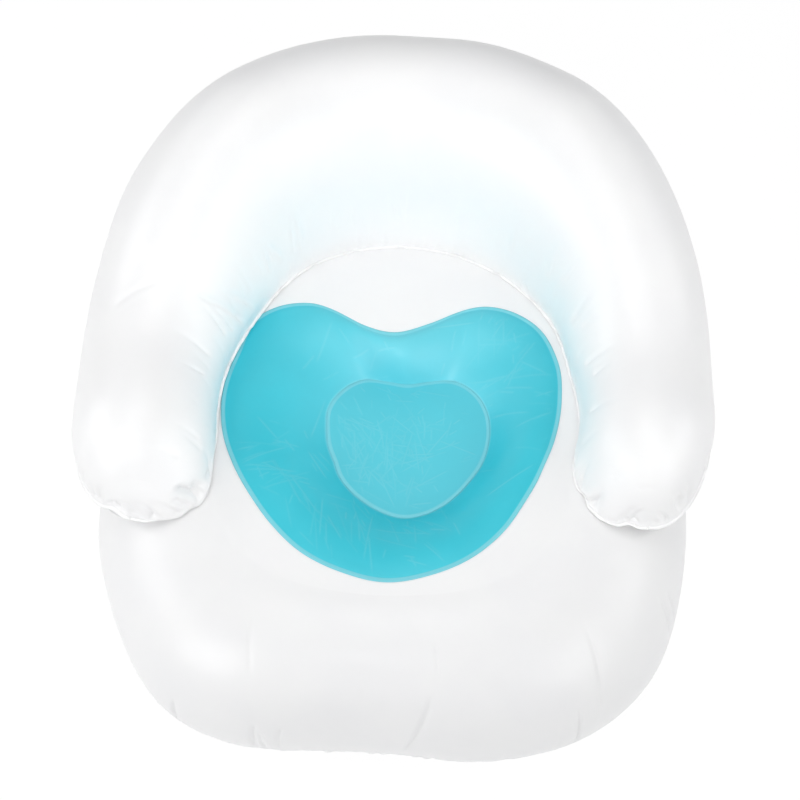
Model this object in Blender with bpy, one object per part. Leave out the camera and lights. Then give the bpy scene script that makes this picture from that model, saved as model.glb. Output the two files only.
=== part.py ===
"""An inflatable sofa of welded PVC film: a pillow base, a horseshoe of back and arms, and two valves.

Units are metres and +Z is up. The sofa faces -Y and stands on z = 0, with the origin under the middle
of its bounding box. Each film is a thin open sheet with its real thickness. Two films that are welded
together lie face to face along a flat lip, a weld gap apart.
"""

import math

import bmesh
import bpy
from mathutils import Matrix, Vector

# Driving dimensions of the whole sofa
OVERALL_DEPTH = 0.730
OVERALL_HEIGHT = 0.419
BASE_WIDTH = 0.614
BASE_DEPTH = 0.700
BASE_HEIGHT = 0.220

# Film and welds
FILM = 0.0004
WELD_GAP = 0.0003
LIP = 0.005
HEART_LAP = 0.005
CENTRE_LAP = 0.004

# Base pillow
EDGE_ZONE = 0.105
BASE_FRONT_POWER = 3.2
BASE_BACK_POWER = 2.4
SEAM_TURN = math.radians(130.0)
CROWN_SLOPE = 0.08
FLAT_RING_SHARE = 0.7

# Seat panel
SEAT_SETBACK = 0.296
HEART_WIDTH = 0.346
HEART_SHIFT_X = -0.002
CENTRE_WIDTH = 0.169
CENTRE_SHIFT_X = 0.012
CENTRE_SHIFT_Y = 0.001
WELL_DEPTH = 0.025
WELL_POWER = 1.7
RING_BULGE = 0.005

# Horseshoe of back and arms
SEAT_OPENING_WIDTH = 0.382
ARCH_DEPTH = 0.209
ARM_WIDTH = 0.134
ARM_RISE = 0.069
ARM_CENTRE_RISE = 0.020
ARM_UNDER = 0.067
ARM_SETBACK = 0.195
ARM_CAP = 0.100
ARM_CAP_POWER = 2.3
BACK_THICKNESS = 0.194
BACK_CENTRE_RISE = 0.030
BACK_UNDER = 0.090
BACK_SEAM_TURN = math.radians(28.0)
BACK_START_TURN = math.radians(60.0)
FLOOR_FLAT_SHARE = 0.45
FLOOR_FALL = 0.040
VALVE_FACET_TURN = math.radians(12.0)

# Inflation valves
VALVE_BORE = 0.0055
STEM_RADIUS = 0.0080
STEM_RIM_RADIUS = 0.0098
STEM_RIM = 0.0015
STEM_LENGTH = 0.0200
STEM_BEAD_RADIUS = 0.0092
STEM_BEAD = 0.0020
STEM_BEAD_SETBACK = 0.0020
FLANGE_RADIUS = 0.0150
FLANGE_THICKNESS = 0.0010
PLUG_HEAD_RADIUS = 0.0088
PLUG_HEAD = 0.0016
PLUG_LENGTH = 0.0080
PLUG_TAPER = 0.0004
FLAP_RADIUS = 0.0068
FLAP_THICKNESS = 0.0008
RUNNING_CLEARANCE = 0.0003
CUT_OVERRUN = 0.010

# Mesh counts and limits
BASE_COLUMNS = 50
RING_ROWS = 5
ARM_STATIONS = 4
ARCH_STATIONS = 24
CAP_STATIONS = 4
ROUND_SIDES = 24
BISECTIONS = 50
SHARP_EDGE = math.radians(40.0)

# Radius of each heart over its half-width, at even steps from its notch round the right lobe
HEART_RADIUS_SHARES = (
    *(0.705, 0.817, 1.091, 1.180, 1.128, 1.032, 0.956, 0.910, 0.898, 0.924, 0.952, 0.971),
    *(0.990, 0.968, 0.950, 0.923, 0.915, 0.942, 0.994, 1.050, 1.103, 1.186, 1.081, 0.790),
)
CENTRE_RADIUS_SHARES = (
    *(0.903, 0.985, 1.118, 1.140, 1.108, 1.033, 0.943, 0.895, 0.873, 0.888, 0.925, 0.960),
    *(0.992, 0.955, 0.905, 0.861, 0.855, 0.870, 0.946, 1.022, 1.118, 1.147, 1.103, 0.967),
)

# Rows of the base's rounded edge, as turns from its top, and rows across the horseshoe's films
VALVE_EDGE_TURNS = (math.radians(80.0), math.radians(100.0))
EDGE_TURNS = (
    *(math.radians(turn) for turn in (0.0, 20.0, 40.0, 60.0)),
    *VALVE_EDGE_TURNS,
    math.radians(116.0),
)
FLOOR_TURNS = tuple(math.radians(turn) for turn in (143.0, 158.0, 180.0))
FRONT_ROW_SHARES = (0.0, 0.10, 0.21, 0.33, 0.45, 0.57, 0.69, 0.80, 0.90, 1.0)
REAR_ROW_SHARES = (0.36, 0.50, 0.64, 0.78, 0.89, 1.0)

# The base's roundest facet stands upright, so that its outline in plan lies a little past its front
FRONT_Y = -OVERALL_DEPTH / 2 - EDGE_ZONE * (1.0 - math.sin(VALVE_EDGE_TURNS[0]))
BASE_MIDDLE_Y = FRONT_Y + BASE_DEPTH / 2
SEAT_Y = FRONT_Y + SEAT_SETBACK
SEAT_POINT = Vector((0.0, SEAT_Y))
HEART_POINT = Vector((HEART_SHIFT_X, SEAT_Y))
CENTRE_POINT = Vector((CENTRE_SHIFT_X, SEAT_Y + CENTRE_SHIFT_Y))

# The horseshoe's arch is set forward from the rearmost point, which is the head of the back's valve plug
ARM_SEAM_TURN = math.asin(ARM_CENTRE_RISE / ARM_UNDER)
BACK_SEAM_INNER_TURN = math.asin(BACK_CENTRE_RISE / BACK_UNDER)
ARCH_LAST_TURN = math.pi / 2 * (ARCH_STATIONS / 2 - 1.0) / (ARCH_STATIONS / 2 - 0.5)
ARCH_LAST_OUTWARD = Vector(
    (math.cos(ARCH_LAST_TURN) * ARCH_DEPTH, math.sin(ARCH_LAST_TURN) * SEAT_OPENING_WIDTH / 2)
).normalized()
BACK_SPREAD = math.cos(BACK_SEAM_INNER_TURN) + math.cos(VALVE_FACET_TURN)
BACK_REACH = ARCH_DEPTH * math.sin(ARCH_LAST_TURN) + ARCH_LAST_OUTWARD.y * BACK_THICKNESS / 2 * BACK_SPREAD
VALVE_PROUD = WELD_GAP + FLANGE_THICKNESS + RUNNING_CLEARANCE + STEM_RIM + RUNNING_CLEARANCE + PLUG_HEAD
ARCH_Y = OVERALL_DEPTH / 2 - VALVE_PROUD - BACK_REACH
SEAM_Z = BASE_HEIGHT + WELD_GAP
LIP_STACK = 2 * FILM + WELD_GAP


def smooth(share):
    """0 to 1 with no slope at either end."""
    share = min(max(share, 0.0), 1.0)
    return share * share * (3.0 - 2.0 * share)


def mix(low, high, share):
    return low + (high - low) * share


def clear_scene():
    for thing in list(bpy.data.objects):
        bpy.data.objects.remove(thing, do_unlink=True)


def material(name, colour, roughness):
    """A Principled material of one colour."""
    made = bpy.data.materials.new(name)
    made.use_nodes = True
    shader = made.node_tree.nodes["Principled BSDF"]
    shader.inputs["Base Color"].default_value = (*colour, 1.0)
    shader.inputs["Roughness"].default_value = roughness
    shader.inputs["Metallic"].default_value = 0.0
    made.diffuse_color = (*colour, 1.0)
    return made


# Outlines in plan

def heart_share(shares, angle):
    """The heart's radius share at an angle in radians, on a smooth closed curve through the table's points."""
    count = len(shares)
    place = (math.pi / 2 - angle) / math.tau * count
    index = math.floor(place)
    part = place - index
    before, here, there, after = (shares[(index + step) % count] for step in (-1, 0, 1, 2))
    return 0.5 * (
        2.0 * here
        + (there - before) * part
        + (2.0 * before - 5.0 * here + 4.0 * there - after) * part**2
        + (3.0 * here - before - 3.0 * there + after) * part**3
    )


def heart_point(angle, inset=0.0):
    """A point on the outer heart, or that far inside it."""
    radius = heart_share(HEART_RADIUS_SHARES, angle) * HEART_WIDTH / 2 - inset
    return HEART_POINT + Vector((math.cos(angle), math.sin(angle))) * radius


def centre_point(angle, outset=0.0):
    """A point on the inner heart, or that far outside it."""
    radius = heart_share(CENTRE_RADIUS_SHARES, angle) * CENTRE_WIDTH / 2 + outset
    return CENTRE_POINT + Vector((math.cos(angle), math.sin(angle))) * radius


def base_radius(angle, inset=0.0):
    """How far the base's outline, or one that far inside it, lies from the seat's middle."""
    half_width = BASE_WIDTH / 2 - inset
    half_depth = BASE_DEPTH / 2 - inset
    low, high = 0.0, BASE_WIDTH + BASE_DEPTH
    for _ in range(BISECTIONS):
        radius = (low + high) / 2
        x = radius * math.cos(angle)
        y = SEAT_Y + radius * math.sin(angle) - BASE_MIDDLE_Y
        power = BASE_FRONT_POWER if y < 0 else BASE_BACK_POWER
        inside = abs(x / half_width) ** power + abs(y / half_depth) ** power < 1.0
        low, high = (radius, high) if inside else (low, radius)
    return (low + high) / 2


def opening_radius(angle):
    """How far the horseshoe's inner weld lies from the seat's middle."""
    across, ahead = abs(math.cos(angle)), math.sin(angle)
    half = SEAT_OPENING_WIDTH / 2
    low, high = 0.0, BASE_WIDTH + BASE_DEPTH
    for _ in range(BISECTIONS):
        radius = (low + high) / 2
        x = radius * across
        y = SEAT_Y + radius * ahead - ARCH_Y
        arch = max(0.0, y) / ARCH_DEPTH
        inside = (x / half) ** 2 + arch**2 < 1.0
        low, high = (radius, high) if inside else (low, radius)
    return (low + high) / 2


def base_section(angle, turn):
    """Radius and height of the base's rounded edge, where turn runs from its top round to its floor."""
    inner = base_radius(angle, EDGE_ZONE)
    outer = base_radius(angle)
    half = BASE_HEIGHT / 2
    return mix(inner, outer, math.sin(turn)), half + half * math.cos(turn)


def tube_floor_z(x, y):
    """Lowest height of the horseshoe's underside: flat on the base's top, then falling over its shoulder."""
    offset = Vector((x, y)) - SEAT_POINT
    angle = math.atan2(offset.y, offset.x)
    inner = base_radius(angle, EDGE_ZONE)
    outer = base_radius(angle)
    past = (offset.length - inner) / (outer - inner)
    return SEAM_Z - FLOOR_FALL * max(0.0, past - FLOOR_FLAT_SHARE)


# Meshes

def film_mesh(name, rows, closed):
    """A sheet through rows of points, one triangle pair to a cell; points that coincide are one."""
    mesh = bmesh.new()
    known = {}

    def vertex(point):
        key = tuple(round(value, 7) for value in point)
        if key not in known:
            known[key] = mesh.verts.new(point)
        return known[key]

    grid = [[vertex(point) for point in row] for row in rows]
    for upper, lower in zip(grid, grid[1:]):
        count = len(upper) if closed else len(upper) - 1
        for index in range(count):
            after = (index + 1) % len(upper)
            corners = (upper[index], lower[index], lower[after], upper[after])
            for triangle in ((corners[0], corners[1], corners[2]), (corners[0], corners[2], corners[3])):
                if len(set(triangle)) == 3 and not mesh.faces.get(triangle):
                    mesh.faces.new(triangle)
    data = bpy.data.meshes.new(name)
    mesh.to_mesh(data)
    mesh.free()
    return data


def place(name, data, look):
    thing = bpy.data.objects.new(name, data)
    bpy.context.scene.collection.objects.link(thing)
    data.materials.append(look)
    data.shade_smooth()
    data.set_sharp_from_angle(angle=SHARP_EDGE)
    return thing


def film(name, rows, look, closed=False):
    """A film of real thickness inside its outer face, which the rows describe."""
    thing = place(name, film_mesh(name, rows, closed), look)
    solid = thing.modifiers.new("Thickness", "SOLIDIFY")
    solid.thickness = FILM
    solid.offset = -1.0
    solid.use_even_offset = False
    return thing


def round_piece(name, profile, look, spot, capped):
    """A round piece on a +Y axis through spot, turned from (radius, distance along +Y) points.

    A capped profile runs from one flat end to the other; one that isn't capped goes round a ring's section.
    """
    mesh = bmesh.new()
    rings = []
    for radius, along in profile:
        angles = [math.tau * side / ROUND_SIDES for side in range(ROUND_SIDES)]
        rings.append([mesh.verts.new((radius * math.cos(a), along, radius * math.sin(a))) for a in angles])
    followers = rings[1:] if capped else rings[1:] + rings[:1]
    for ring, after in zip(rings, followers):
        for side in range(ROUND_SIDES):
            next_side = (side + 1) % ROUND_SIDES
            mesh.faces.new((ring[side], ring[next_side], after[next_side], after[side]))
    if capped:
        mesh.faces.new(rings[0])
        mesh.faces.new(rings[-1])
    bmesh.ops.recalc_face_normals(mesh, faces=mesh.faces)
    data = bpy.data.meshes.new(name)
    mesh.to_mesh(data)
    mesh.free()
    thing = place(name, data, look)
    thing.location = spot
    return thing


def drill(thing, spot, radius):
    """A round hole through a film, along +Y at spot."""
    profile = ((radius, -CUT_OVERRUN), (radius, CUT_OVERRUN))
    cutter = round_piece(f"{thing.name}_cutter", profile, thing.data.materials[0], spot, True)
    cutter.hide_render = True
    cutter.display_type = "WIRE"
    cut = thing.modifiers.new("Valve hole", "BOOLEAN")
    cut.operation = "DIFFERENCE"
    cut.object = cutter


# Base

def base_angles():
    """Angles of the base's columns; one column is centred on the rear, where the valve sits."""
    step = math.tau / BASE_COLUMNS
    return [math.pi / 2 + (index + 0.5) * step for index in range(BASE_COLUMNS)]


def at(point, z):
    return Vector((point.x, point.y, z))


def polar(angle, radius, z):
    return at(SEAT_POINT + Vector((math.cos(angle), math.sin(angle))) * radius, z)


def heart_reach(angle):
    return (heart_point(angle) - SEAT_POINT).length


def flat_radius(angle):
    """Where the base's top turns flat, inside the horseshoe's inner weld."""
    free = mix(heart_reach(angle), base_radius(angle, EDGE_ZONE), FLAT_RING_SHARE)
    return min(free, opening_radius(angle) - LIP - 2 * WELD_GAP)


def heart_z(angle):
    """Height of the heart-shaped weld, which stands a little above the flat that carries the horseshoe."""
    return BASE_HEIGHT + CROWN_SLOPE * (flat_radius(angle) - heart_reach(angle))


def lip_point(angle, turn, reach):
    radius, z = base_section(angle, turn)
    return polar(angle, radius + reach, z)


def make_base_top(look):
    angles = base_angles()
    rows = [
        [at(heart_point(angle, HEART_LAP), heart_z(angle)) for angle in angles],
        [at(heart_point(angle), heart_z(angle)) for angle in angles],
        [polar(angle, flat_radius(angle), BASE_HEIGHT) for angle in angles],
    ]
    for turn in EDGE_TURNS:
        rows.append([polar(angle, *base_section(angle, turn)) for angle in angles])
    rows.append([lip_point(angle, SEAM_TURN, 0.0) for angle in angles])
    rows.append([lip_point(angle, SEAM_TURN, LIP) for angle in angles])
    return film("base_top_film", rows, look, closed=True)


def make_base_bottom(look):
    angles = base_angles()
    under = Vector((0.0, 0.0, -LIP_STACK))
    rows = [
        [lip_point(angle, SEAM_TURN, LIP) + under for angle in angles],
        [lip_point(angle, SEAM_TURN, 0.0) + under for angle in angles],
    ]
    for turn in FLOOR_TURNS:
        rows.append([polar(angle, *base_section(angle, turn)) for angle in angles])
    rows.append([at(SEAT_POINT, 0.0) for _ in angles])
    return film("base_bottom_film", rows, look, closed=True)


# Seat

def well_z(angle, share):
    """Height of the seat film from the outer heart, share 0, to the inner heart, share 1."""
    top = heart_z(angle)
    floor = BASE_HEIGHT - WELL_DEPTH
    bulge = RING_BULGE * 4.0 * share * (1.0 - share)
    return mix(top, floor, share**WELL_POWER) + bulge


def make_heart_film(look):
    angles = base_angles()
    lift = FILM + WELD_GAP
    rows = [
        [at(heart_point(angle), heart_z(angle) + lift) for angle in angles],
        [at(heart_point(angle, HEART_LAP), heart_z(angle) + lift) for angle in angles],
    ]
    for row in range(1, RING_ROWS + 1):
        share = row / RING_ROWS
        line = []
        for angle in angles:
            plan = heart_point(angle, HEART_LAP).lerp(centre_point(angle), share)
            line.append(at(plan, well_z(angle, share) + lift * (1.0 - share)))
        rows.append(line)
    rows.append([at(centre_point(angle, -CENTRE_LAP), BASE_HEIGHT - WELL_DEPTH) for angle in angles])
    return film("seat_heart_film", rows[::-1], look, closed=True)


def make_centre_film(look):
    angles = base_angles()
    z = BASE_HEIGHT - WELL_DEPTH + FILM + WELD_GAP
    rows = [
        [at(CENTRE_POINT, z) for _ in angles],
        [at(centre_point(angle), z) for angle in angles],
    ]
    return film("seat_centre_film", rows, look, closed=True)


def make_inner_wall(look):
    angles = base_angles()
    top = BASE_HEIGHT - WELL_DEPTH - FILM - WELD_GAP
    bottom = FILM + WELD_GAP
    rows = [
        [at(centre_point(angle, -CENTRE_LAP), top) for angle in angles],
        [at(centre_point(angle), top) for angle in angles],
        [at(centre_point(angle), bottom) for angle in angles],
        [at(centre_point(angle, -CENTRE_LAP), bottom) for angle in angles],
    ]
    return film("seat_inner_wall", rows, look, closed=True)


# Horseshoe

class Station:
    """One cross-section of the horseshoe: where its inner weld runs and how big the section is."""

    def __init__(self, seam, outward, forward, back_share, scale, cap_turn):
        self.seam = seam
        self.outward = outward
        self.forward = forward
        self.scale = scale
        self.cap_turn = cap_turn
        self.half = mix(ARM_WIDTH, BACK_THICKNESS, back_share) / 2
        self.centre_rise = mix(ARM_CENTRE_RISE, BACK_CENTRE_RISE, back_share)
        back_top = OVERALL_HEIGHT - SEAM_Z - LIP_STACK - BACK_CENTRE_RISE
        self.over = mix(ARM_RISE, back_top, back_share)
        self.under = mix(ARM_UNDER, BACK_UNDER, back_share)
        self.outer_turn = mix(-ARM_SEAM_TURN, BACK_SEAM_TURN, back_share)
        self.inner_turn = math.pi + math.asin(self.centre_rise / self.under)

    def point(self, turn, lift=0.0):
        """A point of the section; turn 0 is its outermost side and a quarter turn is its top."""
        middle = self.seam - self.outward * self.half * math.cos(self.inner_turn)
        plan = middle + self.outward * self.half * self.scale * math.cos(turn)
        tall = self.over if math.sin(turn) > 0 else self.under
        z = SEAM_Z + (self.centre_rise + tall * math.sin(turn)) * self.scale
        return at(plan, max(z, tube_floor_z(plan.x, plan.y)) + lift)

    def lip(self, turn, side, lift=0.0):
        """The outer edge of the weld lip beside the seam at that turn."""
        aim = self.outward * side * math.cos(self.cap_turn) + self.forward * math.sin(self.cap_turn)
        start = self.point(turn, lift)
        return start + Vector((aim.x, aim.y, 0.0)) * LIP


def horseshoe_stations():
    """Sections from the left arm's front end, round the back, to the right arm's front end."""
    half = SEAT_OPENING_WIDTH / 2
    front_y = FRONT_Y + ARM_SETBACK + ARM_CAP
    stations = []
    front = Vector((0.0, -1.0))
    for index in range(CAP_STATIONS, 0, -1):
        turn = math.pi / 2 * index / CAP_STATIONS
        ahead = ARM_CAP * math.sin(turn) ** (2.0 / ARM_CAP_POWER)
        scale = max(0.0, math.cos(turn)) ** (2.0 / ARM_CAP_POWER) if index < CAP_STATIONS else 0.0
        seam = Vector((half, front_y - ahead))
        stations.append((seam, Vector((1.0, 0.0)), 0.0, scale, turn))
    for index in range(ARM_STATIONS):
        seam = Vector((half, mix(front_y, ARCH_Y, index / ARM_STATIONS)))
        stations.append((seam, Vector((1.0, 0.0)), 0.0, 1.0, 0.0))
    for index in range(ARCH_STATIONS // 2):
        turn = math.pi / 2 * index / (ARCH_STATIONS / 2 - 0.5)
        seam = Vector((half * math.cos(turn), ARCH_Y + ARCH_DEPTH * math.sin(turn)))
        outward = Vector((math.cos(turn) / half, math.sin(turn) / ARCH_DEPTH)).normalized()
        stations.append((seam, outward, smooth(turn / BACK_START_TURN), 1.0, 0.0))
    right = [Station(s, o, front, share, scale, cap) for s, o, share, scale, cap in stations]
    left = [
        Station(Vector((-s.x, s.y)), Vector((-o.x, o.y)), front, share, scale, cap)
        for s, o, share, scale, cap in stations
    ]
    return left + right[::-1]


def make_front_film(look, stations):
    rows = []
    for station in stations:
        turns = [mix(station.inner_turn, station.outer_turn, share) for share in FRONT_ROW_SHARES]
        row = [station.lip(turns[0], -1.0, LIP_STACK)]
        row += [station.point(turn, LIP_STACK) for turn in turns]
        row.append(station.lip(turns[-1], 1.0, LIP_STACK))
        rows.append(row)
    return film("back_arm_front_film", rows, look)


def make_rear_film(look, stations):
    rows = []
    for station in stations:
        start = station.outer_turn
        end = station.inner_turn - math.tau
        shares = [0.0]
        upper = (BACK_SEAM_TURN - VALVE_FACET_TURN) / (BACK_SEAM_TURN - end)
        lower = (BACK_SEAM_TURN + VALVE_FACET_TURN) / (BACK_SEAM_TURN - end)
        shares += [upper, lower, *REAR_ROW_SHARES]
        turns = [mix(start, end, share) for share in shares]
        row = [station.lip(turns[0], 1.0)]
        row += [station.point(turn) for turn in turns]
        row.append(station.lip(turns[-1], -1.0))
        rows.append(row)
    return film("back_arm_rear_film", rows, look)


# Valves

def make_valve(name, spot, look):
    """A closed valve, pushed in, whose axis is +Y; spot is on the film's outer face."""
    clear = RUNNING_CLEARANCE
    face = WELD_GAP + FLANGE_THICKNESS
    bore = STEM_RADIUS + clear
    flange = ((bore, WELD_GAP), (FLANGE_RADIUS, WELD_GAP), (FLANGE_RADIUS, face), (bore, face))
    round_piece(f"{name}_valve_flange", flange, look, spot, False)
    rim = face + clear
    inner_end = rim - STEM_LENGTH
    bead_end = inner_end + STEM_BEAD_SETBACK
    stem = (
        (VALVE_BORE, rim + STEM_RIM),
        (STEM_RIM_RADIUS, rim + STEM_RIM),
        (STEM_RIM_RADIUS, rim),
        (STEM_RADIUS, rim),
        (STEM_RADIUS, bead_end + STEM_BEAD),
        (STEM_BEAD_RADIUS, bead_end + STEM_BEAD),
        (STEM_BEAD_RADIUS, bead_end),
        (STEM_RADIUS, inner_end),
        (VALVE_BORE, inner_end),
    )
    round_piece(f"{name}_valve_stem", stem, look, spot, False)
    seat = rim + STEM_RIM + clear
    plug = (
        (VALVE_BORE - clear - PLUG_TAPER, seat - PLUG_LENGTH),
        (VALVE_BORE - clear, seat),
        (PLUG_HEAD_RADIUS, seat),
        (PLUG_HEAD_RADIUS, seat + PLUG_HEAD),
    )
    round_piece(f"{name}_valve_plug", plug, look, spot, True)
    flap_face = inner_end - clear
    hinge = spot + Vector((0.0, flap_face, FLAP_RADIUS))
    disc = ((FLAP_RADIUS, -FLAP_THICKNESS), (FLAP_RADIUS, 0.0))
    flap = round_piece(f"{name}_valve_flap", disc, look, hinge, True)
    flap.data.transform(Matrix.Translation((0.0, 0.0, -FLAP_RADIUS)))


def base_valve_spot():
    angle = base_angles()[0]
    radius, _ = base_section(angle, VALVE_EDGE_TURNS[0])
    return Vector((0.0, polar(angle, radius, 0.0).y, BASE_HEIGHT / 2))


def back_valve_spot(stations):
    middle = stations[len(stations) // 2]
    high = middle.point(VALVE_FACET_TURN)
    low = middle.point(-VALVE_FACET_TURN)
    return Vector((0.0, high.y, (high.z + low.z) / 2))


def main():
    clear_scene()
    looks = {
        "white": material("white_film", (0.90, 0.90, 0.90), 0.30),
        "aqua": material("aqua_film", (0.10, 0.56, 0.70), 0.30),
        "valve": material("valve_vinyl", (0.80, 0.82, 0.83), 0.25),
    }
    stations = horseshoe_stations()
    base_top = make_base_top(looks["white"])
    make_base_bottom(looks["white"])
    make_heart_film(looks["aqua"])
    make_centre_film(looks["aqua"])
    make_inner_wall(looks["white"])
    make_front_film(looks["white"], stations)
    rear = make_rear_film(looks["white"], stations)
    hole = STEM_BEAD_RADIUS + RUNNING_CLEARANCE
    for name, carrier, spot in (
        ("base", base_top, base_valve_spot()),
        ("back", rear, back_valve_spot(stations)),
    ):
        drill(carrier, spot, hole)
        make_valve(name, spot, looks["valve"])


main()
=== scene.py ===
"""The looks of an inflatable sofa of welded PVC film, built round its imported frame.

Units are metres and +Z is up. Each film is a dense sheet here, with its weld lips, puckers and creases,
that stands for the film of the same name in the frame. The grids follow the frame's own formulas, so a
film lies where the frame's film lies. Only the lean and sag of the photographed chair, its puckers and
creases, and the size of its inner heart are this script's own.
"""

import math

import bpy
import numpy as np
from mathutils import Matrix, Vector

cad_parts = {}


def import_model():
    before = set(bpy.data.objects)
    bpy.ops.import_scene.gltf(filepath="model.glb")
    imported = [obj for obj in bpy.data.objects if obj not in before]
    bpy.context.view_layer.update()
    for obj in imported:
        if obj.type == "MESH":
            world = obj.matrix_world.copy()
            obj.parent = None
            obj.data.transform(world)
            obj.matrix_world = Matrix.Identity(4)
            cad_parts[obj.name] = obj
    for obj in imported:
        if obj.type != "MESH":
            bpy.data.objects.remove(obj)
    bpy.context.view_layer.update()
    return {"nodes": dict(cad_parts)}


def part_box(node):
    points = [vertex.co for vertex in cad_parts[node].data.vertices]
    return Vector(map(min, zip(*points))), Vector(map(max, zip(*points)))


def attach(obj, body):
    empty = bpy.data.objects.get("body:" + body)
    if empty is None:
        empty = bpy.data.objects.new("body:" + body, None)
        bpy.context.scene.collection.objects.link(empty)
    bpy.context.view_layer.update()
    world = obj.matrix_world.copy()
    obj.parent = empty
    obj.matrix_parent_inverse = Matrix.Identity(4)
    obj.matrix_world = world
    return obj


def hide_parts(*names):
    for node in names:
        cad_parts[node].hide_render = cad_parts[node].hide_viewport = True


# The frame's driving dimensions
OVERALL_DEPTH = 0.730
OVERALL_HEIGHT = 0.419
BASE_WIDTH = 0.614
BASE_DEPTH = 0.700
BASE_HEIGHT = 0.220
FILM = 0.0004
WELD_GAP = 0.0003
CENTRE_GAP = 0.00005
LIP = 0.005
HEART_LAP = 0.005
CENTRE_LAP = 0.004
EDGE_ZONE = 0.105
BASE_FRONT_POWER = 3.2
BASE_BACK_POWER = 2.4
SEAM_TURN = math.radians(130.0)
CROWN_SLOPE = 0.08
FLAT_RING_SHARE = 0.7
SEAT_SETBACK = 0.296
HEART_WIDTH = 0.346
HEART_SHIFT_X = -0.002
CENTRE_WIDTH = 0.169
CENTRE_SHIFT_X = 0.012
CENTRE_SHIFT_Y = 0.001
WELL_DEPTH = 0.025
WELL_POWER = 1.7
RING_BULGE = 0.005
SEAT_OPENING_WIDTH = 0.382
ARCH_DEPTH = 0.209
ARM_WIDTH = 0.134
ARM_RISE = 0.069
ARM_CENTRE_RISE = 0.020
ARM_UNDER = 0.067
ARM_SETBACK = 0.195
ARM_CAP = 0.100
ARM_CAP_POWER = 2.3
BACK_THICKNESS = 0.194
BACK_CENTRE_RISE = 0.030
BACK_UNDER = 0.090
BACK_SEAM_TURN = math.radians(28.0)
BACK_START_TURN = math.radians(60.0)
FLOOR_FLAT_SHARE = 0.45
FLOOR_FALL = 0.040
HEART_RADIUS_SHARES = (
    *(0.705, 0.817, 1.091, 1.180, 1.128, 1.032, 0.956, 0.910, 0.898, 0.924, 0.952, 0.971),
    *(0.990, 0.968, 0.950, 0.923, 0.915, 0.942, 0.994, 1.050, 1.103, 1.186, 1.081, 0.790),
)
# As photographed, and up to 4 mm larger than the frame's inner heart
CENTRE_RADIUS_SHARES = (
    *(0.928, 1.010, 1.154, 1.180, 1.133, 1.057, 0.991, 0.944, 0.910, 0.914, 0.939, 0.974),
    *(0.992, 0.955, 0.918, 0.900, 0.892, 0.882, 0.934, 1.003, 1.105, 1.147, 1.131, 0.996),
)
FRAME_EDGE_TURN = math.radians(80.0)
FRAME_ARCH_STATIONS = 24
VALVE_FACET_TURN = math.radians(12.0)
VALVE_PROUD = 0.005
BISECTIONS = 40

# Width of the weld lips as photographed, which is less than the frame's
SEEN_LIP = 0.0027

# Density of the grids
BASE_SIDES = 1200
SEAT_SIDES = 720
WALL_SIDES = 240
CROWN_ROWS = 26
FLAT_ROWS = 10
EDGE_ROWS = 84
FLOOR_ROWS = 30
RING_ROWS = 90
CENTRE_ROWS = 90
WALL_ROWS = 20
CAP_STATIONS = 80
ARM_STATIONS = 80
ARCH_STATIONS = 240
FRONT_ROWS = 120
REAR_ROWS = 90

# Waves in the weld lips: their height, the length of seam in a full turn, and each wave's number in a turn
# and its phase
RUFFLE_HEIGHT = 0.0003
RUFFLE_LENGTH = 2.0
RUFFLE_WAVES = ((61.0, 0.0), (97.0, 1.0), (23.0, 2.0))
# How far below level the base's lip hangs, and how much a wave lifts it
LIP_HANG = math.radians(92.0)
LIP_LIFT = math.radians(9.0)
# How far below level the outer lip of the back and arms hangs
ARM_LIP_HANG = math.radians(50.0)
# Where along its seam the inner lip is tucked under the left arm's end: from and to, the lengths over which
# that starts and ends, and the share of the lip's width that is hidden
TUCKED_LIP = (0.012, 0.125)
TUCK_LENGTHS = (0.01, 0.02)
TUCKED_SHARE = 0.9

# How far the flat seat's middle rises, and over what distance from its edge
CENTRE_RISE = 0.0022
CENTRE_RISE_LENGTH = 0.05
# Slack of the wall under the seat's centre
WALL_SLACK = 0.003

# Camera
CAMERA_ELEVATION = math.radians(55.0)
CAMERA_AZIMUTH = math.radians(2.0)
CAMERA_DISTANCE = 2.0
CAMERA_AIM = Vector((0.0, 0.0, 0.2))
CAMERA_LENS = 86.4
CAMERA_SHIFT = (0.005, -0.01375)

# Valve seats
VALVE_FLAT_RADIUS = 0.0165
VALVE_DIMPLE_RADIUS = 0.045
VALVE_HOLE_RADIUS = 0.0098
# How far in front of its valve a film is still drawn flat, and cut open
VALVE_DRAW_DEPTH = 0.05
VALVE_CUT_DEPTH = 0.01

# Studio
WORLD_LEVEL = 0.22
WORLD_COLOUR = (0.97, 0.98, 1.0, 1.0)
FLOOR_HALF_WIDTH = 6.0
FLOOR_DROP = 0.0005
FLOOR_COLOUR = (0.93, 0.93, 0.93, 1.0)
FLOOR_ROUGHNESS = 0.9
FLOOR_GLOSS = 0.1
FLOOR_GLOW = 0.88
FLOOR_GLOW_LEVEL = 1.05
OBJECT_MIDDLE = (0.0, 0.0, 0.2)
SEAT_BACK = (0.0, 0.14, 0.28)
LEFT_BEND = (-0.19, 0.04, 0.26)
LEFT_ARM = (-0.25, -0.06, 0.28)
RIGHT_ARM = (0.25, -0.06, 0.28)
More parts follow.
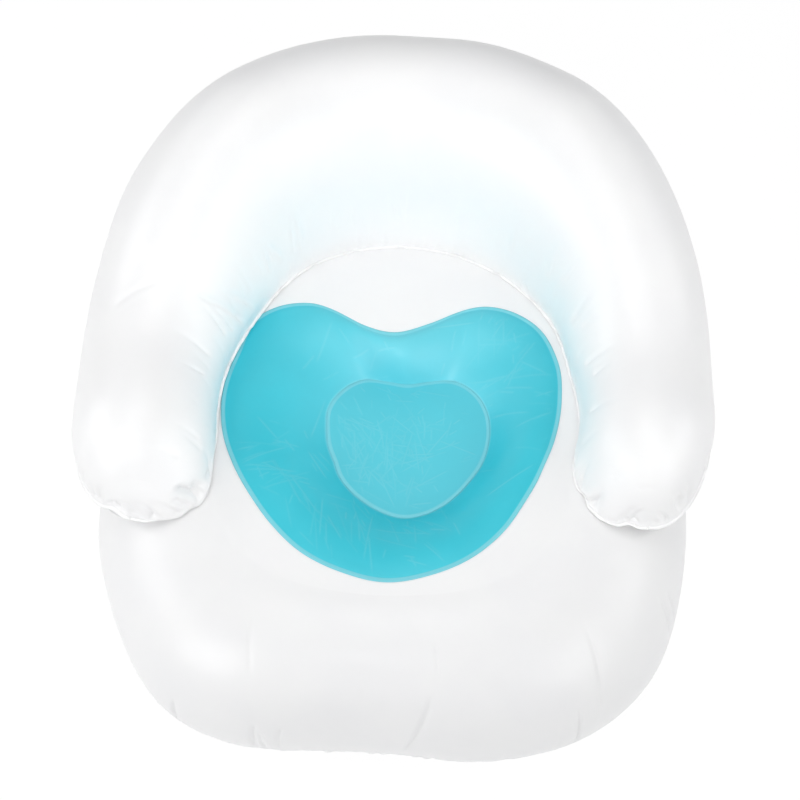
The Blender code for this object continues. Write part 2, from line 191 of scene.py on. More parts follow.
# Each lamp's name, azimuth, elevation, power, spread, distance, size and target; angles are in degrees
SOFTBOX = (180.0, 2.2, 1.2, OBJECT_MIDDLE)
LAMPS = (
    ("front_softbox", 0.0, 10.0, 3.2, *SOFTBOX),
    ("front_left_softbox", -45.0, 25.0, 13.0, *SOFTBOX),
    ("front_right_softbox", 45.0, 25.0, 9.4, *SOFTBOX),
    ("left_softbox", -90.0, 25.0, 9.8, *SOFTBOX),
    ("right_softbox", 90.0, 25.0, 8.4, *SOFTBOX),
    ("back_left_softbox", -135.0, 35.0, 3.5, *SOFTBOX),
    ("back_right_softbox", 135.0, 35.0, 2.6, *SOFTBOX),
    ("overhead_softbox", 0.0, 85.0, 6.9, *SOFTBOX),
    ("back_top_softbox", 180.0, 70.0, 2.9, *SOFTBOX),
    ("fill_softbox", 0.0, 40.0, 0.21, 30.0, 1.5, 0.5, SEAT_BACK),
    ("bend_softbox", 65.0, 35.0, 0.05, 24.0, 1.5, 0.4, LEFT_BEND),
    ("left_arm_softbox", -20.0, 60.0, 0.038, 24.0, 1.5, 0.4, LEFT_ARM),
    ("right_arm_softbox", 20.0, 60.0, 0.052, 24.0, 1.5, 0.4, RIGHT_ARM),
)

# Where the photographed chair leans or sags from its even shape: place, radius and shift
SETTLED = (
    ((-0.29, -0.27, 0.12), 0.14, (0.009, 0.0, 0.0)),
    ((-0.03, -0.366, 0.10), 0.15, (0.0, 0.0125, 0.0)),
    ((0.315, -0.15, 0.25), 0.10, (-0.011, 0.004, 0.0)),
    ((0.19, -0.115, 0.22), 0.05, (-0.006, 0.0, 0.0)),
    ((-0.09, 0.32, 0.38), 0.14, (0.0, 0.001, 0.003)),
    ((0.11, 0.29, 0.40), 0.12, (0.0, 0.001, 0.003)),
)
# The same for the horseshoe alone: it leans over the seat's left lobe, and its seam is drawn in at its ends
HORSESHOE_SETTLED = (
    ((-0.19, -0.06, 0.222), 0.13, (0.009, 0.0, 0.0016)),
    ((-0.168, 0.062, 0.222), 0.13, (0.0125, -0.0065, 0.002)),
    ((-0.195, -0.13, 0.235), 0.08, (0.01, -0.004, 0.0)),
    ((-0.235, -0.18, 0.23), 0.055, (0.0, -0.0095, 0.0)),
    ((-0.197, -0.158, 0.222), 0.06, (0.0105, -0.012, 0.0)),
    ((0.185, -0.11, 0.23), 0.065, (-0.0055, -0.003, 0.0)),
    ((0.183, 0.012, 0.222), 0.075, (-0.0055, 0.0, 0.0)),
    ((0.203, -0.155, 0.222), 0.05, (-0.006, -0.0085, 0.0)),
    ((-0.273, -0.171, 0.225), 0.015, (0.002, 0.0045, 0.001)),
    ((-0.197, -0.168, 0.222), 0.013, (-0.001, 0.0035, 0.001)),
    ((0.19, -0.141, 0.222), 0.012, (0.003, 0.002, 0.001)),
    ((0.235, -0.168, 0.222), 0.013, (0.0, 0.005, 0.001)),
    ((0.293, -0.158, 0.238), 0.015, (-0.004, 0.004, 0.0)),
)

# Folds that the photograph shows, in metres along the inner seam from the left arm's front end and away from
# it: place, start, length, depth, width and lean
INNER_TIP_FOLDS = (
    (0.018, 0.000, 0.030, 0.0030, 0.0033, 0.1),
    (0.040, 0.000, 0.034, 0.0042, 0.0037, -0.7),
    (0.053, 0.000, 0.022, 0.0030, 0.0031, 0.5),
    (0.066, 0.000, 0.034, 0.0040, 0.0033, -0.5),
    (0.079, 0.000, 0.046, 0.0046, 0.0040, 0.3),
    (0.893, 0.000, 0.046, 0.0064, 0.0042, -0.3),
    (0.906, 0.000, 0.034, 0.0060, 0.0040, 0.5),
    (0.918, 0.000, 0.024, 0.0029, 0.0031, -0.2),
    (0.940, 0.000, 0.022, 0.0027, 0.0031, 0.3),
    (0.957, 0.000, 0.042, 0.0046, 0.0040, -0.2),
)
INNER_BEND_FOLDS = (
    (0.092, 0.046, 0.040, 0.0013, 0.0037, 0.1),
    (0.165, 0.052, 0.044, 0.0015, 0.0037, -0.1),
    (0.190, 0.048, 0.058, 0.0019, 0.0042, 0.1),
    (0.226, 0.040, 0.056, 0.0023, 0.0040, 0.1),
    (0.239, 0.034, 0.048, 0.0019, 0.0035, -0.1),
    (0.256, 0.030, 0.064, 0.0025, 0.0042, 0.0),
    (0.272, 0.040, 0.040, 0.0015, 0.0035, 0.2),
    (0.318, 0.044, 0.052, 0.0021, 0.0040, 0.1),
    (0.331, 0.050, 0.038, 0.0015, 0.0032, -0.2),
    (0.372, 0.052, 0.060, 0.0019, 0.0042, -0.1),
    (0.431, 0.050, 0.034, 0.0011, 0.0035, 0.1),
    (0.482, 0.048, 0.044, 0.0015, 0.0037, -0.1),
    (0.547, 0.052, 0.036, 0.0011, 0.0037, 0.1),
    (0.612, 0.056, 0.046, 0.0017, 0.0040, 0.1),
    (0.668, 0.060, 0.062, 0.0023, 0.0042, -0.1),
    (0.688, 0.072, 0.060, 0.0019, 0.0037, 0.1),
    (0.726, 0.050, 0.066, 0.0025, 0.0042, -0.1),
    (0.741, 0.062, 0.046, 0.0017, 0.0035, 0.1),
    (0.778, 0.048, 0.056, 0.0021, 0.0040, 0.0),
    (0.797, 0.058, 0.036, 0.0015, 0.0035, -0.2),
    (0.836, 0.050, 0.042, 0.0017, 0.0037, 0.1),
)
OUTER_TIP_FOLDS = (
    (0.010, 0.000, 0.036, 0.0036, 0.0035, 0.2),
    (0.020, 0.000, 0.030, 0.0040, 0.0033, -0.2),
    (0.038, 0.000, 0.040, 0.0025, 0.0035, 0.2),
    (0.914, 0.000, 0.036, 0.0025, 0.0037, -0.2),
    (0.930, 0.000, 0.056, 0.0040, 0.0042, 0.1),
    (0.948, 0.000, 0.034, 0.0032, 0.0033, 0.3),
)
# Long creases, by the places along and away from the seam of their ends, and their width and depth
FRONT_CREASES = (
    ((0.043, 0.036), (0.061, 0.004), 0.0046, 0.0095),
    ((0.036, 0.026), (0.046, 0.005), 0.0040, 0.0050),
    ((0.054, 0.030), (0.070, 0.009), 0.0036, 0.0045),
    ((0.069, 0.021), (0.082, 0.017), 0.0032, 0.0045),
    ((0.203, 0.172), (0.232, 0.125), 0.0036, 0.0020),
    ((0.229, 0.104), (0.266, 0.010), 0.0042, 0.0030),
    ((0.257, 0.074), (0.282, 0.026), 0.0036, 0.0018),
    ((0.327, 0.080), (0.342, 0.042), 0.0040, 0.0020),
    ((0.363, 0.094), (0.357, 0.038), 0.0038, 0.0016),
)
BASE_CREASES = (
    ((0.812, 0.038), (0.816, 0.104), 0.0027, 0.0031),
    ((0.893, 0.040), (0.897, 0.108), 0.0028, 0.0031),
    ((0.904, 0.036), (0.901, 0.092), 0.0023, 0.0024),
    ((0.916, 0.040), (0.921, 0.104), 0.0027, 0.0028),
    ((1.026, 0.036), (1.060, 0.160), 0.0031, 0.0031),
    ((1.066, 0.168), (1.068, 0.210), 0.0023, 0.0010),
    ((1.190, 0.036), (1.191, 0.122), 0.0028, 0.0031),
    ((1.206, 0.080), (1.235, 0.200), 0.0028, 0.0016),
    ((1.318, 0.090), (1.326, 0.146), 0.0025, 0.0024),
    ((1.335, 0.086), (1.339, 0.138), 0.0025, 0.0024),
    ((0.852, 0.226), (0.884, 0.160), 0.0025, 0.0011),
)
# Clusters of fine creases in the aqua film: middle, spread, heading and its spread in degrees, and count
HEART_CLUSTERS = (
    ((0.105, 0.035), 0.030, 40.0, 60.0, 34),
    ((0.150, -0.030), 0.024, 5.0, 25.0, 12),
    ((-0.134, -0.102), 0.022, 15.0, 25.0, 22),
    ((-0.095, -0.135), 0.030, -40.0, 40.0, 26),
    ((-0.030, -0.178), 0.024, -75.0, 28.0, 34),
    ((0.030, -0.195), 0.028, -35.0, 45.0, 22),
    ((0.000, 0.055), 0.050, 20.0, 60.0, 16),
    ((0.000, -0.075), 0.110, 0.0, 90.0, 50),
)
CENTRE_CLUSTERS = (
    ((-0.045, -0.050), 0.018, -55.0, 35.0, 44),
    ((-0.015, -0.090), 0.020, -75.0, 60.0, 44),
    ((0.025, -0.060), 0.026, 30.0, 70.0, 34),
    ((0.012, -0.070), 0.042, 0.0, 90.0, 90),
)

# Shape of a fold: the shares of its length over which it grows and fades, the share of its lean that is gone
# at its end, and the share of its width that it has at its start and gains to its end
FOLD_GROWTH = 0.15
FOLD_FADING = 0.8
FOLD_STRAIGHTENING = 0.4
FOLD_WIDTH = 0.7
FOLD_WIDENING = 0.8
# Shares of a crease's length over which each of its ends fades
CREASE_FADING = 0.3
FINE_CREASE_FADING = 0.2
# Share of a fine crease's height by which the film is tilted beside it
FINE_CREASE_TILT = 0.35

# How the random folds scatter: the power that makes short ones common, length and lean, and their places
FOLD_SIZE_POWER = 1.6
FOLD_LENGTH_SCATTER = (-0.2, 0.3)
FOLD_LEAN = 0.14
PLACE_SCATTER = (0.1, 0.9)
# Seeds of each film's folds and creases
BASE_TOP_SEED = 11
BASE_BOTTOM_SEED = 12
HEART_SEED = 21
CENTRE_SEED = 22
FRONT_SEED = 31
REAR_SEED = 32
# Random folds: spacing along the seam, then ranges of the distance from it, length, depth and width
BASE_SHORT_FOLDS = (0.016, (0.0, 0.002), (0.012, 0.060), (0.0004, 0.0016), (0.0036, 0.0060))
BASE_LONG_FOLDS = (0.14, (0.01, 0.05), (0.06, 0.12), (0.0003, 0.0009), (0.0030, 0.0045))
FLOOR_FOLDS = (0.016, (SEEN_LIP, SEEN_LIP), (0.015, 0.045), (0.0005, 0.0018), (0.0030, 0.0050))
INNER_SHORT_FOLDS = (0.014, (0.0, 0.002), (0.012, 0.045), (0.0004, 0.0022), (0.0036, 0.0052))
INNER_FAR_FOLDS = (0.024, (0.03, 0.06), (0.020, 0.050), (0.0003, 0.0014), (0.0036, 0.0052))
OUTER_FOLDS = (0.017, (0.0, 0.002), (0.015, 0.060), (0.0006, 0.0028), (0.0038, 0.0060))
# Least and greatest strength of the horseshoe's random folds, by how sharply the seam bends
BEND_STRENGTHS = (0.3, 1.5)

# Fine creases: ranges of length and depth, and width
HEART_CREASES = ((0.012, 0.075), (0.00003, 0.00009), 0.0008)
CENTRE_CREASES = ((0.010, 0.055), (0.00003, 0.00010), 0.0007)

# Slow unevenness of the films: how many waves, the range of their sizes, and each film's size and height
SWELL_WAVES = 14
SWELL_SIZES = (0.7, 1.6)
BASE_SWELL = (0.16, 0.0006)
SEAT_SWELL = (0.07, 0.0004)
FRONT_SWELL = (0.15, 0.0007)
REAR_SWELL = (0.15, 0.0006)

# Distances over which folds and creases start: beside seams and welds, beside the heart and above the floor
BASE_SEAM_FADE = 0.005
HEART_FADE_START = 0.02
HEART_FADE = 0.06
SHOE_SEAM_FADE = 0.006
SEAT_WELD_FADE = 0.012
CENTRE_WELD_FADE = 0.008
FLOOR_FADE = 0.004
# How close to its support the horseshoe's rear film counts as touching it
TOUCHING = 0.0005

# Films: colour, pale and deep colour, roughness, gloss, and how strongly creases and the weld mark take the
# pale one
# The white film's weld mark lies on its lips, which it paints fully pale: a painted highlight
WHITE_FILM = ((0.90, 0.90, 0.90), (0.98, 0.98, 0.98), (0.885, 0.885, 0.89), 0.31, 0.5, 0.0, 1.0)
# On the aqua film the weld mark also carries a painted sheen
AQUA_FILM = ((0.016, 0.535, 0.655), (0.36, 0.72, 0.78), (0.010, 0.515, 0.635), 0.38, 0.65, 0.16, 0.45)

# Painted sheen of the aqua film above the centre: its middle, radius and paleness; and how pale the centre
# itself is
PAINTED_SHEEN_MIDDLE = (0.015, 0.045)
PAINTED_SHEEN_RADIUS = 0.200
PAINTED_SHEEN_PALENESS = 0.62
CENTRE_PALENESS = 0.35
# Share of the way from the seat's outer weld to its centre where the paler weld begins
CENTRE_WELD_SHARE = 0.965
# Where in its lap the centre's paler weld ends, and over what length
CENTRE_WELD_LAP_SHARE = 0.8
CENTRE_WELD_BLUR = 0.0008

# Procedural textures: scales per metre, widths and depths in metres, and how much of the film has the craze
CLOUD_SCALE = 14.0
CLOUD_RANGE = (0.35, 0.65)
SHEEN_SCALE = 30.0
SHEEN_RANGE = (0.3, 0.7)
SHEEN_SPREAD = (-0.01, 0.05)
GRAIN_SCALE = 900.0
GRAIN_DEPTH = 0.00003
CRAZE_SCALE = 58.0
CRAZE_WIDTH = 0.0005
CRAZE_RANGE = (0.56, 0.70)
CRAZE_DEPTH = 0.00012
FILM_IOR = 1.5
VINYL_TONES = ((0.74, 0.77, 0.79, 1.0), (0.84, 0.86, 0.87, 1.0))
VINYL_TONE_SCALE = 60.0
VINYL_SHEEN_SCALE = 120.0
VINYL_ROUGHNESS = (0.30, 0.40)
VINYL_GRAIN_SCALE = 1500.0
VINYL_GRAIN_DEPTH = 0.00002
BUMP_STRENGTH = 0.5
# Places of a Mix node's colour sockets
MIX_COLOUR_INPUTS = (0, 6, 7)
MIX_COLOUR_OUTPUT = 2

# Places that follow from the dimensions
FRONT_Y = -OVERALL_DEPTH / 2 - EDGE_ZONE * (1.0 - math.sin(FRAME_EDGE_TURN))
BASE_MIDDLE_Y = FRONT_Y + BASE_DEPTH / 2
SEAT_Y = FRONT_Y + SEAT_SETBACK
SEAT_POINT = np.array((0.0, SEAT_Y))
HEART_POINT = np.array((HEART_SHIFT_X, SEAT_Y))
CENTRE_POINT = np.array((CENTRE_SHIFT_X, SEAT_Y + CENTRE_SHIFT_Y))
SEAM_Z = BASE_HEIGHT + WELD_GAP
LIP_STACK = 2 * FILM + WELD_GAP
ARM_SEAM_TURN = math.asin(ARM_CENTRE_RISE / ARM_UNDER)
BACK_SEAM_INNER_TURN = math.asin(BACK_CENTRE_RISE / BACK_UNDER)
FRAME_LAST_TURN = math.pi / 2 * (FRAME_ARCH_STATIONS / 2 - 1.0) / (FRAME_ARCH_STATIONS / 2 - 0.5)
FRAME_LAST_OUTWARD = Vector(
    (math.cos(FRAME_LAST_TURN) * ARCH_DEPTH, math.sin(FRAME_LAST_TURN) * SEAT_OPENING_WIDTH / 2)
).normalized()
BACK_SPREAD = math.cos(BACK_SEAM_INNER_TURN) + math.cos(VALVE_FACET_TURN)
BACK_REACH = ARCH_DEPTH * math.sin(FRAME_LAST_TURN) + FRAME_LAST_OUTWARD.y * BACK_THICKNESS / 2 * BACK_SPREAD
ARCH_Y = OVERALL_DEPTH / 2 - VALVE_PROUD - BACK_REACH


def ease(share):
    """0 to 1 with no slope at either end."""
    share = np.clip(share, 0.0, 1.0)
    return share * share * (3.0 - 2.0 * share)


def mix(low, high, share):
    return low + (high - low) * share


def shares(count):
    """Evenly spaced shares from 0 to 1."""
    return np.linspace(0.0, 1.0, count)


# Outlines in plan, as arrays over the angle round the seat

def directions(angle):
    return np.stack((np.cos(angle), np.sin(angle)), -1)


def heart_share(table, angle):
    """The heart's radius share, on a smooth closed curve through the table's points."""
    values = np.array(table)
    place = (math.pi / 2 - angle) / math.tau * len(values)
    index = np.floor(place).astype(int)
    part = place - index
    before, here, there, after = (values[(index + step) % len(values)] for step in (-1, 0, 1, 2))
    return 0.5 * (
        2.0 * here
        + (there - before) * part
        + (2.0 * before - 5.0 * here + 4.0 * there - after) * part**2
        + (3.0 * here - before - 3.0 * there + after) * part**3
    )


def heart_points(angle, inset=0.0):
    radius = heart_share(HEART_RADIUS_SHARES, angle) * HEART_WIDTH / 2 - inset
    return HEART_POINT + directions(angle) * radius[..., None]


def centre_points(angle, outset=0.0):
    radius = heart_share(CENTRE_RADIUS_SHARES, angle) * CENTRE_WIDTH / 2 + outset
    return CENTRE_POINT + directions(angle) * radius[..., None]


def widest_inside(angle, is_inside):
    """The largest radius round the seat at each angle whose point is still inside."""
    low = np.zeros_like(angle)
    high = np.full_like(angle, BASE_WIDTH + BASE_DEPTH)
    for _ in range(BISECTIONS):
        radius = (low + high) / 2
        plan = SEAT_POINT + directions(angle) * radius[..., None]
        inside = is_inside(plan[..., 0], plan[..., 1])
        low = np.where(inside, radius, low)
        high = np.where(inside, high, radius)
    return (low + high) / 2


def base_radius(angle, inset=0.0):
    half_width = BASE_WIDTH / 2 - inset
    half_depth = BASE_DEPTH / 2 - inset

    def is_inside(x, y):
        ahead = y - BASE_MIDDLE_Y
        power = np.where(ahead < 0, BASE_FRONT_POWER, BASE_BACK_POWER)
        return np.abs(x / half_width) ** power + np.abs(ahead / half_depth) ** power < 1.0

    return widest_inside(angle, is_inside)


def opening_radius(angle):
    """How far the horseshoe's inner weld lies from the seat's middle."""

    def is_inside(x, y):
        arch = np.maximum(0.0, y - ARCH_Y) / ARCH_DEPTH
        return (x / (SEAT_OPENING_WIDTH / 2)) ** 2 + arch**2 < 1.0

    return widest_inside(angle, is_inside)


def heart_reach(angle):
    return np.linalg.norm(heart_points(angle) - SEAT_POINT, axis=-1)


def flat_radius(angle):
    """Where the base's top turns flat, inside the horseshoe's inner weld."""
    free = mix(heart_reach(angle), base_radius(angle, EDGE_ZONE), FLAT_RING_SHARE)
    return np.minimum(free, opening_radius(angle) - LIP - 2 * WELD_GAP)


def heart_z(angle):
    return BASE_HEIGHT + CROWN_SLOPE * (flat_radius(angle) - heart_reach(angle))


def base_section(angle, turn):
    """Radius and height of the base's rounded edge, where turn runs from its top round to its floor."""
    inner = base_radius(angle, EDGE_ZONE)
    outer = base_radius(angle)
    half = BASE_HEIGHT / 2
    return mix(inner, outer, np.sin(turn)), np.full_like(angle, half + half * math.cos(turn))


def tube_floor_z(plan):
    """Lowest height of the horseshoe's underside, over the base's top and its shoulder."""
    offset = plan - SEAT_POINT
    angle = np.arctan2(offset[..., 1], offset[..., 0])
    inner = base_radius(angle, EDGE_ZONE)
    past = (np.linalg.norm(offset, axis=-1) - inner) / (base_radius(angle) - inner)
    return SEAM_Z - FLOOR_FALL * np.maximum(0.0, past - FLOOR_FLAT_SHARE)


def raised(plan, z):
    """Points in plan, lifted to their heights."""
    return np.concatenate((plan, np.broadcast_to(z, plan.shape[:-1])[..., None]), -1)


def polar(angle, radius, z):
    return raised(SEAT_POINT + directions(angle) * radius[..., None], z)


# Grids and meshes

def grid_normals(grid, closed):
    """Unit normals of a grid of points, from its rows and columns."""
    down = np.gradient(grid, axis=0)
    if closed:
        along = (np.roll(grid, -1, 1) - np.roll(grid, 1, 1)) / 2
    else:
        along = np.gradient(grid, axis=1)
    normal = np.cross(down, along)
    length = np.linalg.norm(normal, axis=-1, keepdims=True)
    return normal / np.maximum(length, 1e-12)


def steps_along(grid, axis):
    """Distance walked along a grid's rows or columns, from its first point."""
    step = np.linalg.norm(np.diff(grid, axis=axis), axis=-1)
    start = np.zeros_like(np.take(step, [0], axis=axis))
    return np.concatenate((start, np.cumsum(step, axis=axis)), axis)


def grid_faces(rows, columns, closed):
    index = np.arange(rows * columns).reshape(rows, columns)
    after = np.roll(index, -1, 1) if closed else index[:, 1:]
    here = index if closed else index[:, :-1]
    quads = (here[:-1], here[1:], after[1:], after[:-1])
    return np.stack([corner.reshape(-1) for corner in quads], -1)


def settled(points, table):
    """Points moved the way that the real chair leans."""
    for place, radius, shift in table:
        share = ease(1.0 - np.linalg.norm(points - np.array(place), axis=-1, keepdims=True) / radius)
        points = points + share * np.array(shift)
    return points


def film(name, grid, look, closed=False, hole=None, **marks):
    """A film through a grid of points on its outer face; hole tells which faces a valve leaves open.

    Each mark is a value per point that the film's material reads by the mark's name.
    """
    rows, columns = grid.shape[:2]
    points = settled(grid.reshape(-1, 3), SETTLED)
    faces = grid_faces(rows, columns, closed)
    if hole is not None:
        faces = faces[~hole(points[faces].mean(1))]
    data = bpy.data.meshes.new(name)
    data.from_pydata(points.tolist(), [], faces.tolist())
    for kind, values in marks.items():
        mark = data.attributes.new(kind, "FLOAT", "POINT")
        mark.data.foreach_set("value", np.broadcast_to(values, (rows, columns)).astype(np.float32).ravel())
    data.shade_smooth()
    thing = bpy.data.objects.new(name, data)
    bpy.context.scene.collection.objects.link(thing)
    data.materials.append(look)
    thickness = thing.modifiers.new("Thickness", "SOLIDIFY")
    thickness.thickness = FILM
    thickness.offset = -1.0
    thickness.use_even_offset = False
    return thing


# Wrinkles, as heights over a film's own two coordinates

def pinch(offset, width):
    """Cross-section of a fold: a sharp valley between soft shoulders."""
    return -np.exp(1.0 - np.sqrt(1.0 + (2.0 * offset / width) ** 2))


def folds(along, away, table, around=None):
    """Heights of folds that run away from a seam, each deepest near its start."""
    height = np.zeros(np.broadcast(along, away).shape)
    for place, start, length, depth, width, lean in table:
        run = (away - start) / length
        offset = along - place - lean * (away - start) * (1.0 - FOLD_STRAIGHTENING * run)
        if around is not None:
            offset = (offset + around / 2) % around - around / 2
        fade = ease(run / FOLD_GROWTH) * ease((1.0 - run) / FOLD_FADING)
        spread = FOLD_WIDTH + FOLD_WIDENING * np.clip(run, 0.0, 1.0)
        height += depth * pinch(offset, width * spread) * fade
    return height


def random_folds(rng, end, spacing, starts, lengths, depths, widths, strength=None):
    """A table of irregular folds, where short and shallow ones are the most common."""
    places = scattered(rng, end, spacing)
    count = len(places)
    size = rng.uniform(0.0, 1.0, count) ** FOLD_SIZE_POWER
    depth = mix(*depths, size) * (1.0 if strength is None else strength(places))
    length = mix(*lengths, np.clip(size + rng.uniform(*FOLD_LENGTH_SCATTER, count), 0.0, 1.0))
    first = rng.uniform(*starts, count)
    width = rng.uniform(*widths, count)
    lean = rng.normal(0.0, FOLD_LEAN, count)
    return np.stack((places, first, length, depth, width, lean), -1)


def line_place(u, v, start, end):
    """How far along the line from start to end points lie, as a share, and how far beside it."""
    across = np.array(end) - np.array(start)
    length = np.linalg.norm(across)
    run = ((u - start[0]) * across[0] + (v - start[1]) * across[1]) / length**2
    return run, ((u - start[0]) * across[1] - (v - start[1]) * across[0]) / length


def creases(u, v, table):
    """Heights of long straight folds in a film's two coordinates."""
    height = np.zeros(np.broadcast(u, v).shape)
    for start, end, width, depth in table:
        run, offset = line_place(u, v, start, end)
        fade = ease(run / CREASE_FADING) * ease((1.0 - run) / CREASE_FADING)
        height += depth * pinch(offset, width) * fade
    return height


def crumple(rng, x, y, clusters, lengths, depths, width):
    """Fine straight creases in clusters: their heights, and how strongly each point lies on one."""
    height = np.zeros(x.shape)
    line = np.zeros(x.shape)
    for middle, spread, heading, turn, count in clusters:
        for _ in range(count):
            centre = np.array(middle) + rng.normal(0.0, spread, 2)
            angle = math.radians(heading + rng.uniform(-turn, turn))
            half = directions(np.array(angle)) * mix(*lengths, rng.uniform() ** 2) / 2
            depth = rng.uniform(*depths)
            run, offset = line_place(x, y, centre - half, centre + half)
            fade = ease(run / FINE_CREASE_FADING) * ease((1.0 - run) / FINE_CREASE_FADING)
            on_line = np.exp(-((offset / width) ** 2)) * fade
            tilt = offset / width * np.exp(-0.5 * (offset / (2.5 * width)) ** 2)
            height += depth * (on_line + FINE_CREASE_TILT * tilt * fade)
            line = np.maximum(line, on_line * depth / depths[1])
    return height, line


def ruffle(turn):
    """How far a weld lip lifts along its seam, where both of the seam's films lift together."""
    return RUFFLE_HEIGHT * sum(np.sin(count * turn + phase) for count, phase in RUFFLE_WAVES) ** 2


def swell(rng, grid, size, height):
    """Slow unevenness of a film, from a few waves in random directions."""
    total = np.zeros(grid.shape[:2])
    for _ in range(SWELL_WAVES):
        heading = rng.normal(size=3)
        heading *= math.tau / (size * rng.uniform(*SWELL_SIZES) * np.linalg.norm(heading))
        total += np.cos(grid @ heading + rng.uniform(0.0, math.tau))
    return total * height / math.sqrt(SWELL_WAVES)


def scattered(rng, end, spacing):
    """Uneven places from 0 to end, about that far apart."""
    count = max(1, round(end / spacing))
    return (np.arange(count) + rng.uniform(*PLACE_SCATTER, count)) * end / count


# Base

def ring_angles(count):
    return math.pi / 2 + math.tau * np.arange(count) / count


def lip_points(angle, reach, under=0.0):
    """Points of the base's weld lip, which hangs from its seam; under is how far they lie behind its face."""
    radius, z = base_section(angle, SEAM_TURN)
    hang = LIP_HANG - ruffle(angle) / RUFFLE_HEIGHT * LIP_LIFT
    out = reach * np.cos(hang) - under * np.sin(hang)
    return polar(angle, radius + out, z - reach * np.sin(hang) - under * np.cos(hang))


def base_top_grid(angle):
    top = heart_z(angle)
    rows = [raised(heart_points(angle, HEART_LAP * share), top) for share in (1.0, 0.5)]
    heart = heart_points(angle)
    flat = flat_radius(angle)
    inner = base_radius(angle, EDGE_ZONE)
    flat_points = SEAT_POINT + directions(angle) * flat[:, None]
    for share in shares(CROWN_ROWS):
        rows.append(raised(mix(heart, flat_points, share), mix(top, BASE_HEIGHT, share)))
    for share in shares(FLAT_ROWS)[1:]:
        rows.append(polar(angle, mix(flat, inner, share), BASE_HEIGHT))
    for turn in np.linspace(0.0, SEAM_TURN, EDGE_ROWS)[1:]:
        rows.append(polar(angle, *base_section(angle, turn)))
    for share in (0.5, 1.0):
        rows.append(lip_points(angle, SEEN_LIP * share))
    return np.array(rows)


def base_folds(rng, grid):
    """Heights of the base's folds: puckers up from its seam, and the creases of the photograph."""
    along = steps_along(grid[-3:-2], 1)
    around = along[0, -1]
    down = steps_along(grid, 0)
    away = down[-3:-2] - down
    height = swell(rng, grid, *BASE_SWELL)
    for group in (BASE_SHORT_FOLDS, BASE_LONG_FOLDS):
        height += folds(along, away, random_folds(rng, around, *group), around)
    height += creases(along, away, BASE_CREASES)
    return height * ease(away / BASE_SEAM_FADE) * ease((down - HEART_FADE_START) / HEART_FADE)


def make_base_top(look):
    rng = np.random.default_rng(BASE_TOP_SEED)
    angle = ring_angles(BASE_SIDES)
    grid = base_top_grid(angle)
    grid = grid + grid_normals(grid, True) * base_folds(rng, grid)[..., None]
    spot = valve_spot("base")
    grid = seated_valve(grid, spot)
    weld = np.zeros((len(grid), 1))
    # The lips are marked, and the white film paints them paler there: a painted highlight
    weld[-2:] = 1.0
    return film("base_top_skin", grid, look, closed=True, hole=valve_hole(spot), weld=weld)


def make_base_bottom(look):
    rng = np.random.default_rng(BASE_BOTTOM_SEED)
    angle = ring_angles(BASE_SIDES)
    rows = [lip_points(angle, SEEN_LIP * share, LIP_STACK) for share in (1.0, 0.5)]
    seam = polar(angle, *base_section(angle, SEAM_TURN))
    behind = lip_points(angle, 0.0, LIP_STACK) - seam
    for turn in np.linspace(SEAM_TURN, math.pi, FLOOR_ROWS):
        drop = behind * (1.0 - ease((turn - SEAM_TURN) / (math.pi - SEAM_TURN)))
        rows.append(polar(angle, *base_section(angle, turn)) + drop)
    inner = base_radius(angle, EDGE_ZONE)
    for share in shares(FLOOR_ROWS)[1:]:
        rows.append(polar(angle, inner * (1.0 - share), 0.0))
    grid = np.array(rows)
    along = steps_along(grid[2:3], 1)
    around = along[0, -1]
    height = folds(along, steps_along(grid, 0), random_folds(rng, around, *FLOOR_FOLDS), around)
    lifted = np.clip(grid[..., 2] / FLOOR_FADE, 0.0, 1.0)
    grid = grid + grid_normals(grid, True) * (height * lifted)[..., None]
    grid[..., 2] = np.maximum(grid[..., 2], 0.0)
    weld = np.zeros((len(grid), 1))
    # The lips are marked, and the white film paints them paler there: a painted highlight
    weld[:2] = 1.0
    return film("base_bottom_skin", grid, look, closed=True, weld=weld)


# Valve seats in the films

def valve_spot(name):
    """Middle of a valve's flange, on the film's outer face."""
    low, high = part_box(f"{name}_valve_flange")
    return np.array(((low.x + high.x) / 2, low.y - WELD_GAP, (low.z + high.z) / 2))


def seated_valve(grid, spot):
    """The film drawn flat behind the valve's flange, with a soft dimple round it."""
    reach = np.hypot(grid[..., 0] - spot[0], grid[..., 2] - spot[2])
    share = 1.0 - ease((reach - VALVE_FLAT_RADIUS) / (VALVE_DIMPLE_RADIUS - VALVE_FLAT_RADIUS))
    share = np.where(grid[..., 1] > spot[1] - VALVE_DRAW_DEPTH, share, 0.0)
    moved = grid.copy()
    moved[..., 1] = mix(grid[..., 1], np.minimum(grid[..., 1], spot[1]), share)
    flat = reach < VALVE_FLAT_RADIUS
    moved[..., 1] = np.where(flat & (share > 0.0), spot[1], moved[..., 1])
    return moved


def valve_hole(spot):
    def is_open(centres):
        reach = np.hypot(centres[:, 0] - spot[0], centres[:, 2] - spot[2])
        return (reach < VALVE_HOLE_RADIUS) & (centres[:, 1] > spot[1] - VALVE_CUT_DEPTH)

    return is_open


# Seat

